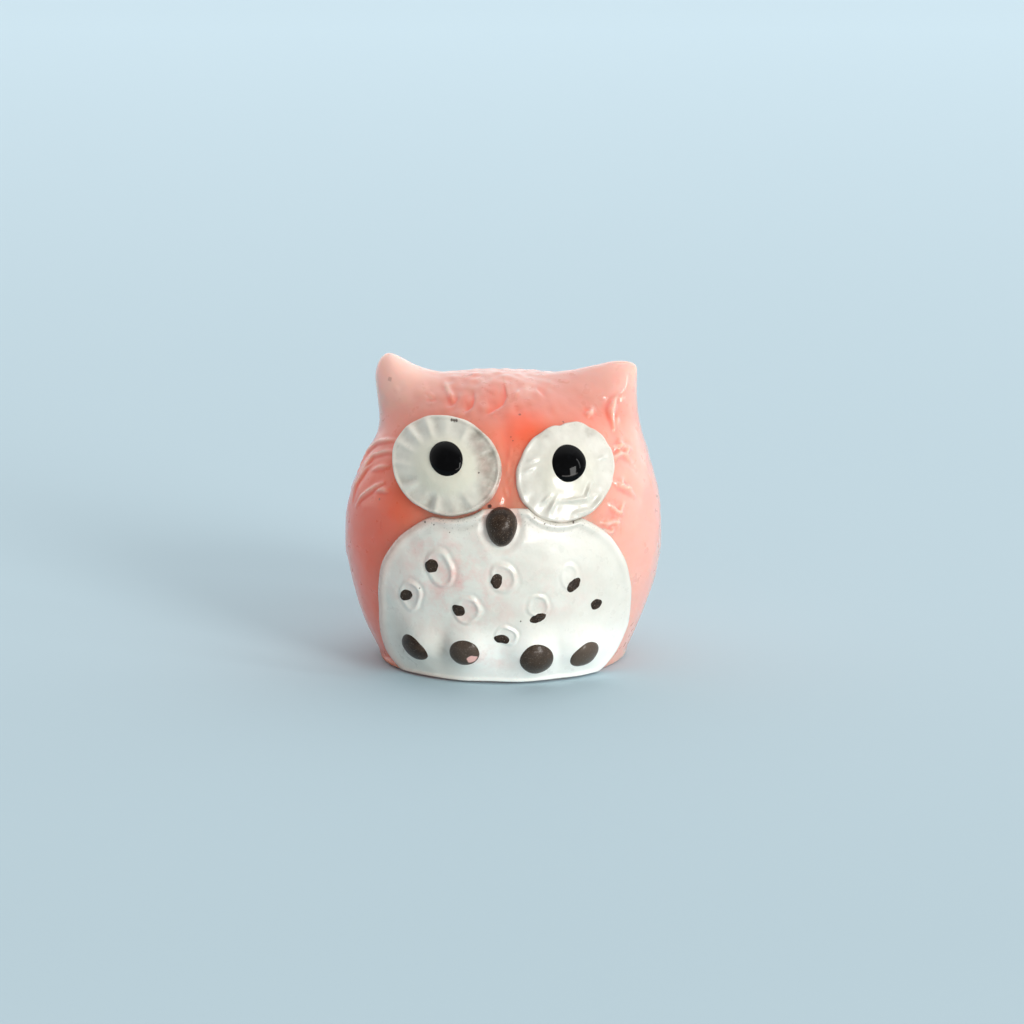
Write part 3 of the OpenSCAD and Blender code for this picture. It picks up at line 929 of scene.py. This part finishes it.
def make_casting():
    sides, rings = detail(CASTING_SIDES), detail(CASTING_RINGS)
    turn = np.arange(sides) / sides
    azimuth = 2 * math.pi * turn + FRONT_CROWDING * np.sin(2 * math.pi * turn) + math.pi / 2
    # How far each column falls from the top before it meets the floor.
    low, high = np.full(sides, math.pi / 2), np.full(sides, math.pi * 0.995)
    for _ in range(BISECTIONS):
        middle = (low + high) / 2
        u = directions(middle, azimuth)
        above = WAIST + skin_radius(u) * u[:, 2] > 0
        low = np.where(above, middle, low)
        high = np.where(above, high, middle)
    fall = np.outer(1 - np.arange(rings) / rings, (low + high) / 2).ravel()
    u = np.concatenate([directions(fall, np.tile(azimuth, rings)), [[0, 0, 1]]])
    skin = CENTRE + skin_radius(u)[:, None] * u
    lift, masks = casting_relief(skin)
    lift *= step(0.0, RELIEF_FADE, skin[:, 2])
    points = skin + skin_normals(skin) * lift[:, None]
    # The bottom edge is a little rounded, and the base is closed by smaller flat rings.
    skirt = step(-1.0, -4.5, points[:, 0]) * step(0.0, -3.0, points[:, 1])
    flare = (0.1 + 0.3 * skirt) * bell(points[:, 2], 0.2, 0.26)
    tuck = 0.1 * np.exp(-points[:, 2] / 0.06) - flare
    outward = (points - CENTRE) * np.array([1, 1, 0])
    points -= tuck[:, None] * outward / np.linalg.norm(outward + 1e-9, axis=1)[:, None]
    points[:sides, 2] = 0.0
    points[:, 2] = np.maximum(points[:, 2], 0.0)
    faces = [ring_faces(i * sides, (i + 1) * sides, sides) for i in range(rings - 1)]
    crown = rings * sides
    faces.append(fan_faces(crown, crown - sides, sides))
    rim = points[:sides]
    middle = rim.mean(0)
    for i in range(1, BASE_RINGS):
        points = np.concatenate([points, rim + (middle - rim) * i / BASE_RINGS])
    points = np.concatenate([points, [middle]])
    first = 0
    for i in range(1, BASE_RINGS):
        start = crown + 1 + (i - 1) * sides
        faces.append(ring_faces(first, start, sides, flip=True))
        first = start
    faces.append(fan_faces(len(points) - 1, first, sides, flip=True))
    masks = {key: padded(mask, len(points)) for key, mask in masks.items()}
    return make_piece("owl_casting", points, faces, RESIN, ["body"], masks)


# ---- painted pieces

# Where the belly's white is brushed thin: across, up, half sizes, turn, strength.
BELLY_WEAR = (
    (-2.6, 7.0, 3.6, 3.0, 0, 0.95), (-4.6, 9.2, 1.8, 1.0, 20, 0.7), (2.4, 6.2, 2.6, 1.6, 0, 0.5),
    (-0.8, 2.0, 1.6, 1.0, 0, 0.5),
)


BELLY_SIDES = 440
BELLY_RINGS = 150
BELLY_CROWDING = 1.25
BELLY_LIP = 0.1
BELLY_EDGE = 0.035
BELLY_FOOT = 0.07
# Height of a painted area's very edge above the skin.
EDGE_STEP = 0.02
# Shade beside each toe, in the order of TOES.
TOE_SHADES = (0.05, 0.12, 0.5, 0.35)


def make_belly():
    def lift(x, z, f):
        inside = panel_lift(x, z) + BELLY_LIP * bell(f, 0.955, 0.028)
        return inside * rounded_edge(f, BELLY_EDGE) + EDGE_STEP

    points, faces, (x, z, f) = polar_solid(
        BELLY_CENTRE, belly_reach, lift, detail(BELLY_SIDES),
        edge_spacing(detail(BELLY_RINGS), BELLY_CROWDING))
    points[:, 2] = np.maximum(points[:, 2], BELLY_FOOT)
    upper = step(8.5, 10.6, z)
    crease = bell(f, 0.9, 0.03)
    near_disc = disc_shade(x, z, 0.35, left_strength=0.6)
    bx, bz, half_w, half_h = BEAK
    beside_beak = np.hypot((x - bx) / (half_w + 0.2), (z - bz - 0.2) / (half_h + 0.1))
    # The panel's edge on the -X side is painted pinker and darker.
    left_edge = step(0.9, 1.0, f) * step(-2.0, -5.0, x)
    bare = 0.35 * step(1.12, 0.98, beside_beak) * step(10.2, 10.8, z)
    bare = np.maximum(bare, 0.45 * left_edge)
    # Painted light: the low belly on the +X side, lit from low in front, is painted whiter.
    lit_low = step(5.0, 1.8, z) * step(-3.8, -1.0, x)
    toe_shade = np.zeros_like(x)
    for (cx, cz, _), depth in zip(TOES, TOE_SHADES):
        beside = np.hypot((x - cx + 1.25) / 0.42, z - cz)
        toe_shade += depth * np.exp(-beside ** 2)
    # This mask is painted shade beside the discs, in the crease inside the lip and beside the toes, and
    # darkens the -X edge.
    grime_and_shade = 0.5 * near_disc * upper + 0.25 * crease * upper + toe_shade + 0.4 * left_edge
    masks = {
        "thin": soft_patches(x, z, BELLY_WEAR),
        "lit_low": lit_low,
        "bare": bare,
        "cream": np.zeros_like(x),
        "grime_and_shade": grime_and_shade,
        "dust": near_disc * 1.2 + 0.15 * upper,
    }
    masks = {key: padded(mask, len(points)) for key, mask in masks.items()}
    return make_piece("belly_paint", points, faces, WHITE, ["belly_panel"], masks)


# Folds in each eye disc: angle in degrees, strength.
RIGHT_FOLDS = (
    (29, 1.0), (62, 1.0), (88, 0.35), (112, 1.1), (136, 1.0), (158, 0.7),
    (184, 0.5), (217, 1.5), (238, 0.3), (259, 1.4), (281, 0.3), (303, 0.6), (335, 0.4),
)
LEFT_FOLDS = (
    (20, 0.6), (57, 0.8), (93, 0.8), (125, 0.6), (156, 0.7), (190, 0.5),
    (222, 0.6), (248, 0.9), (288, 0.7), (320, 0.9),
)
FOLD_WIDTH = 4.8
VALLEY_WIDTH = 6.5
VALLEY_OFFSET = -10
# Each disc: how deep its folds are, how much it leans and how high its rim and middle
# stand, the seed of its unevenness, the width of its rounded edge, and its cream tint.
DiscPaint = namedtuple("DiscPaint", "folds fold_depth lean rim seed edge boss_cream cream")
DISC_PAINT = {
    RIGHT_DISC: DiscPaint(RIGHT_FOLDS, fold_depth=0.1, lean=0.14, rim=0.06, seed=31,
                          edge=0.05, boss_cream=0.9, cream=0.35),
    LEFT_DISC: DiscPaint(LEFT_FOLDS, fold_depth=0.035, lean=0.1, rim=0.02, seed=32,
                         edge=0.09, boss_cream=0.5, cream=0.1),
}
DISC_BOSS = 0.14
DISC_DISH = 0.05
DISC_SIDES = 300
DISC_RINGS = 100
DISC_CROWDING = 1.2
DISC_ROUNDING = 2.6
# How thin the white is on the side of a disc.
SIDE_THIN = 0.8
# Middles of the grimy patches on the left disc.
LEFT_GRIME = ((2.37, 15.45), (5.2, 15.2))


def disc_parts(disc, x, z):
    """Distance out from a disc's centre, 1 at its edge, and the angle in degrees."""
    cx, cz, half_w, half_h = disc
    a, b = (x - cx) / half_w, (z - cz) / half_h
    return np.hypot(a, b), np.degrees(np.arctan2(b, a)) % 360


def disc_folds(disc, x, z):
    """Ridges of a disc's folds, about 1 high, and the valleys beside them."""
    f, angle = disc_parts(disc, x, z)
    ridges, valleys = np.zeros_like(x), np.zeros_like(x)
    window = step(0.5, 0.8, f) * step(0.99, 0.9, f)
    for at, strength in DISC_PAINT[disc].folds:
        away = (angle - at + 180) % 360 - 180
        ridges += strength * bell(away, 0, FOLD_WIDTH) * window
        valleys += strength * bell(away, VALLEY_OFFSET, VALLEY_WIDTH) * window
    return ridges, valleys


# Glossy lumps in the left disc's thick paint: across, up, along, across, turn, height.
PAINT_LUMPS = (
    (4.3, 11.72, 0.72, 0.13, 2, 0.9), (5.0, 12.1, 0.36, 0.13, 70, 0.9),
    (5.65, 11.45, 0.42, 0.16, 45, 0.9), (4.75, 11.0, 0.45, 0.13, 5, 0.6),
    (2.95, 11.5, 0.4, 0.15, 60, 0.9), (2.55, 11.85, 0.3, 0.13, 40, 0.7),
    (5.9, 13.75, 0.24, 0.12, 0, 0.6), (1.85, 14.1, 0.34, 0.14, 15, 0.6),
    (1.6, 13.6, 0.3, 0.12, 20, 0.5),
)


def disc_surface(disc, x, z):
    """Height of an eye disc above the skin, before its rounded edge."""
    paint = DISC_PAINT[disc]
    f, _ = disc_parts(disc, x, z)
    ridges, valleys = disc_folds(disc, x, z)
    lift = DISC_THICKNESS + paint.lean * ((x - disc.x) / disc.half_w)
    lift = lift + DISC_BOSS * (1 - step(0.3, 0.62, f)) - DISC_DISH * step(0.5, 0.75, f)
    lift += paint.rim * bell(f, 0.945, 0.03)
    lift += paint.fold_depth * (ridges - 0.7 * valleys)
    p = upright(x, z)
    lift += 0.01 * ripple(p, 1.4, paint.seed)
    if disc is LEFT_DISC:
        low_half = step(14.0, 11.6, z)
        lift += (0.01 + 0.015 * low_half) * ripple(p, 0.9, 33) * step(0.4, 0.6, f)
        lift += small_lumps(x, z, PAINT_LUMPS)
    return lift


def disc_reach(disc, angle):
    """A disc's hand-painted outline; the left one has two notches in its top."""
    reach = ellipse_reach(disc.half_w, disc.half_h, angle)
    if disc is RIGHT_DISC:
        wobble = 0.012 * np.cos(angle - 0.7) + 0.005 * np.sin(7 * angle)
        return reach * (1 + (wobble + 0.004 * np.sin(13 * angle + 1)))
    degrees = np.degrees(angle)
    notch = 0.035 * bell(degrees, 97, 5) + 0.02 * bell(degrees, 57, 5)
    wobble = 0.007 * np.sin(6 * angle + 0.5) + 0.006 * np.sin(11 * angle)
    wobble += 0.003 * np.sin(19 * angle + 2)
    return reach * (1 + wobble - notch)


def make_disc(name, disc, node):
    paint = DISC_PAINT[disc]

    def lift(x, z, f):
        return disc_surface(disc, x, z) * rounded_edge(f, paint.edge, DISC_ROUNDING) + EDGE_STEP

    points, faces, (x, z, f) = polar_solid(
        (disc.x, disc.z), lambda angle: disc_reach(disc, angle), lift, detail(DISC_SIDES),
        edge_spacing(detail(DISC_RINGS), DISC_CROWDING))
    boss = 1 - step(0.35, 0.75, f)
    if disc is RIGHT_DISC:
        inward = (x - disc.x) / disc.half_w + 0.15 * (z - disc.z) / disc.half_h
        inner = step(0.45, 0.75, inward)
        low_side = step(12.8, 11.2, z)
        # Painted shade in the fold valleys; the inner side is grimier, and the disc is darker towards
        # the bottom.
        grime_and_shade = 0.08 + 0.58 * inner + 0.22 * disc_folds(disc, x, z)[1] + 0.25 * low_side
        thin = inner + 0.5 * step(0.85, 1.0, f)
    else:
        patches = [np.exp(-(((x - px) / 0.42) ** 2 + ((z - pz) / 0.3) ** 2) ** 2)
                   for px, pz in LEFT_GRIME]
        grime_and_shade = 0.2 + 0.35 * np.max(patches, axis=0)
        thin = 0.25 * step(0.9, 1.0, f)
    masks = {
        "thin": padded(thin, len(points), SIDE_THIN),
        "cream": padded(paint.boss_cream * boss + paint.cream, len(points)),
        "grime_and_shade": padded(grime_and_shade, len(points)),
        "dust": padded(0.25 * step(0.8, 1.0, f), len(points)),
    }
    return make_piece(name, points, faces, WHITE, [node], masks)


def turned_ellipse(half_length, half_width, turn, wobble=0.0, seed=0):
    """Outline function of an ellipse turned by some degrees, with hand-painted wobble."""
    rng = np.random.default_rng(seed)
    waves = [(k, rng.uniform(-1, 1) / k, rng.uniform(0, 6.28)) for k in (2, 3, 4, 5, 7)]

    def reach(angle):
        r = ellipse_reach(half_length, half_width, angle - math.radians(turn))
        return r * (1 + wobble * sum(s * np.sin(k * angle + phase) for k, s, phase in waves))
    return reach


DOME_SINK = 0.03
DOME_CROWDING = 1.6
CHIP_DEPTH = 0.05


def make_dome(name, node, centre, reach, base, height, profile, sides=96, rings=36,
              mask=None, lit_tint=0.0, material=BROWN):
    """Painted dome on the surface whose height above the skin is base(x, z)."""
    def lift(x, z, f):
        rise = (1 - np.clip(f, 0, 1) ** profile) ** (1 / profile)
        sunk = 0.0 if mask is None else -CHIP_DEPTH * mask(x, z)
        return base(x, z) - DOME_SINK + (height + DOME_SINK) * rise + sunk

    points, faces, (x, z, _) = polar_solid(
        centre, reach, lift, detail(sides), edge_spacing(detail(rings), DOME_CROWDING), under=0.0)
    chip = np.zeros(len(points))
    if mask is not None:
        chip[:len(x)] = mask(x, z)
    masks = {"chip": chip, "lit_tint": np.full(len(points), lit_tint)}
    return make_piece(name, points, faces, material, [node], masks)


# Powers of the domes' profiles: a half circle, and flatter ones with steeper sides.
ROUND_PROFILE = 2.0
CLAW_PROFILE = 2.4
SPECK_PROFILE = 4.0
PUPIL_RISE = 0.34
# Height of a pupil's middle above the skin.
PUPIL_LEVEL = 0.47


def make_pupils():
    left = turned_ellipse(1.08, 0.95, -40, 0.03, 41)
    right = turned_ellipse(1.0, 0.93, 0, 0.02, 42)
    for node, disc, reach, lean in (("pupil_left", LEFT_DISC, left, 0.14),
                                    ("pupil_right", RIGHT_DISC, right, 0.0)):
        foot = foot_of(node, lambda x, z: np.full_like(x, PUPIL_LEVEL))
        make_dome(node.replace("pupil", "pupil_drop"), node, foot, reach,
                  lambda x, z: disc_surface(disc, x, z) + lean * (x - foot[0]), PUPIL_RISE,
                  ROUND_PROFILE, material=BLACK)


BEAK_BASE = 0.12
BEAK_RISE = 1.05


def make_beak():
    def reach(angle):
        egg = 1 + 0.15 * np.sin(angle) * np.cos(angle) ** 2
        return ellipse_reach(BEAK.half_w, BEAK.half_h, angle) * egg

    make_dome("beak_shell", "beak", (BEAK.x, BEAK.z), reach,
              lambda x, z: np.full_like(x, BEAK_BASE), BEAK_RISE, ROUND_PROFILE,
              sides=128, rings=56)


# Claws: node, half length, half width, turn, and how much lighter brown it is painted, a painted
# stand-in for the light each claw catches.
CLAWS = (
    ("claw_left_outer", 0.98, 0.72, 45, 0.5),
    ("claw_left_inner", 0.97, 1.1, 0, 0.2),
    ("claw_right_inner", 0.88, 0.86, 0, 0.3),
    ("claw_right_outer", 0.98, 0.68, -52, 0.0),
)
CLAW_RISE = 0.2
# A claw wraps round its mound, so its middle hangs lower than its top by this factor.
CLAW_LEVEL = 0.65
CHIP_OFFSET = np.array([0.48, -0.25])


def claw_foot(node):
    return foot_of(node, lambda x, z: CLAW_LEVEL * panel_lift(x, z))


def chip_mask(x, z):
    """The round chip on the lower side of one claw."""
    cx, cz = claw_foot("claw_right_inner") + CHIP_OFFSET
    angle = np.arctan2(z - cz, x - cx)
    radius = 0.27 * (1 + 0.08 * np.sin(3 * angle + 1) + 0.05 * np.sin(5 * angle))
    return step(1.1, 0.85, np.hypot(x - cx, z - cz) / radius)


def make_claws():
    for index, (node, half_length, half_width, turn, lit_tint) in enumerate(CLAWS):
        reach = turned_ellipse(half_length, half_width, turn, 0.05, 50 + index)
        mask = chip_mask if node == "claw_right_inner" else None
        make_dome(node.replace("claw", "claw_paint"), node, claw_foot(node), reach, panel_lift,
                  CLAW_RISE, CLAW_PROFILE, sides=112, rings=44, mask=mask, lit_tint=lit_tint)


# Specks in order: half length, half width, turn.
SPECKS = (
    (0.44, 0.39, 60), (0.4, 0.33, 40), (0.43, 0.34, -40), (0.48, 0.33, 70), (0.48, 0.32, 50),
    (0.38, 0.32, 30), (0.54, 0.27, 22), (0.48, 0.28, -8),
)
SPECK_RISE = 0.07


def make_specks():
    for index, (half_length, half_width, turn) in enumerate(SPECKS, 1):
        node = f"belly_speck_{index}"
        foot = foot_of(node, panel_lift)
        reach = turned_ellipse(half_length, half_width, turn, 0.16, 60 + index)
        make_dome(f"speck_dab_{index}", node, foot, reach, panel_lift, SPECK_RISE,
                  SPECK_PROFILE, sides=64, rings=20)


make_casting()
make_belly()
make_disc("eye_paint_left", LEFT_DISC, "eye_disc_left")
make_disc("eye_paint_right", RIGHT_DISC, "eye_disc_right")
make_pupils()
make_beak()
make_claws()
make_specks()


# ---- floor, light, camera

FLOOR_NEAR = (0.44, 0.57, 0.635)
FLOOR_NEAR_LIGHT = (0.45, 0.58, 0.645)
FLOOR_FAR = (0.63, 0.81, 0.91)
FLOOR_SIZE = 6.0
FLOOR_SHIFT = 1.5
# Height in metres the lights point at.
LIGHT_AIM = 0.01
CAMERA_ELEVATION = math.radians(14)
CAMERA_DISTANCE = 0.23
CAMERA_AIM = Vector((0.57, 0, 9.35)) * MM
CAMERA_LENS = 127.8


def floor_material():
    """Pale blue paper, painted lighter towards the back of the sweep as painted light."""
    material, tree, shader = new_material("pale_paper")
    place = tree.nodes.new("ShaderNodeTexCoord")
    split = tree.nodes.new("ShaderNodeSeparateXYZ")
    tree.links.new(place.outputs["Object"], split.inputs["Vector"])
    mottle = add(tree, "ShaderNodeTexNoise", Scale=9.0, Detail=3.0)
    tree.links.new(place.outputs["Object"], mottle.inputs["Vector"])
    colour = blend_colour(ramp(mottle.outputs["Fac"], 0.3, 0.7), FLOOR_NEAR, FLOOR_NEAR_LIGHT)
    # Painted light: the paper is lighter towards the back.
    back = ramp(split.outputs["Y"], -1.55, -1.15)
    colour = blend_colour(back, colour, FLOOR_FAR)
    tree.links.new(colour, shader.inputs["Base Color"])
    shader.inputs["Roughness"].default_value = 0.75
    shader.inputs["Specular IOR Level"].default_value = 0.2
    return material


def make_floor():
    bpy.ops.mesh.primitive_plane_add(size=FLOOR_SIZE, location=(0, FLOOR_SHIFT, 0))
    floor = bpy.context.active_object
    floor.name = "pale_floor"
    floor.data.materials.append(floor_material())


def area_light(name, azimuth, elevation, distance, size, power, colour):
    """Soft light that shines on the owl; azimuth 0 is straight in front, 90 on the right."""
    az, el = math.radians(azimuth), math.radians(elevation)
    way = Vector((math.sin(az) * math.cos(el), -math.cos(az) * math.cos(el), math.sin(el)))
    data = bpy.data.lights.new(name, "AREA")
    data.shape = "RECTANGLE"
    data.size, data.size_y = size
    data.energy = power
    data.color = colour
    lamp = bpy.data.objects.new(name, data)
    lamp.location = way * distance + Vector((0, 0, LIGHT_AIM))
    lamp.rotation_euler = way.to_track_quat("Z", "Y").to_euler()
    bpy.context.scene.collection.objects.link(lamp)


def make_world():
    """Soft room light: bright behind and above the owl, dim in front of it."""
    world = bpy.data.worlds.new("soft_room")
    world.use_nodes = True
    tree = world.node_tree
    background = tree.nodes["Background"]
    place = tree.nodes.new("ShaderNodeTexCoord")
    split = tree.nodes.new("ShaderNodeSeparateXYZ")
    tree.links.new(place.outputs["Generated"], split.inputs["Vector"])
    behind = ramp(split.outputs["Y"], -0.25, 0.45, 0.45, 1.5)
    above = ramp(split.outputs["Z"], 0.85, 1.0, 0.0, 0.2)
    rightward = ramp(split.outputs["X"], -1.0, 1.0, 0.74, 1.0)
    strength = maths("MULTIPLY", maths("ADD", behind, above), rightward)
    tree.links.new(strength, background.inputs["Strength"])
    background.inputs["Color"].default_value = (1.0, 1.0, 1.0, 1)
    bpy.context.scene.world = world


def make_camera():
    """Camera straight in front, a little above level."""
    away = Vector((0, -math.cos(CAMERA_ELEVATION), math.sin(CAMERA_ELEVATION)))
    data = bpy.data.cameras.new("camera")
    data.lens = CAMERA_LENS
    data.sensor_width = 36.0
    data.clip_start = 0.01
    camera = bpy.data.objects.new("camera", data)
    camera.location = CAMERA_AIM + away * CAMERA_DISTANCE
    camera.rotation_euler = away.to_track_quat("Z", "Y").to_euler()
    bpy.context.scene.collection.objects.link(camera)
    bpy.context.scene.camera = camera


make_floor()
make_world()
area_light("window", azimuth=41, elevation=19, distance=1.4, size=(0.4, 0.66),
           power=10.7, colour=(1.0, 0.99, 0.96))
area_light("low_bounce", azimuth=30, elevation=5, distance=1.2, size=(1.2, 0.12),
           power=4.4, colour=(1.0, 0.95, 0.9))
area_light("side_pane", azimuth=66, elevation=33, distance=1.3, size=(0.05, 0.8),
           power=1.5, colour=(1.0, 1.0, 1.0))
make_camera()
bpy.context.scene.view_settings.view_transform = "Standard"
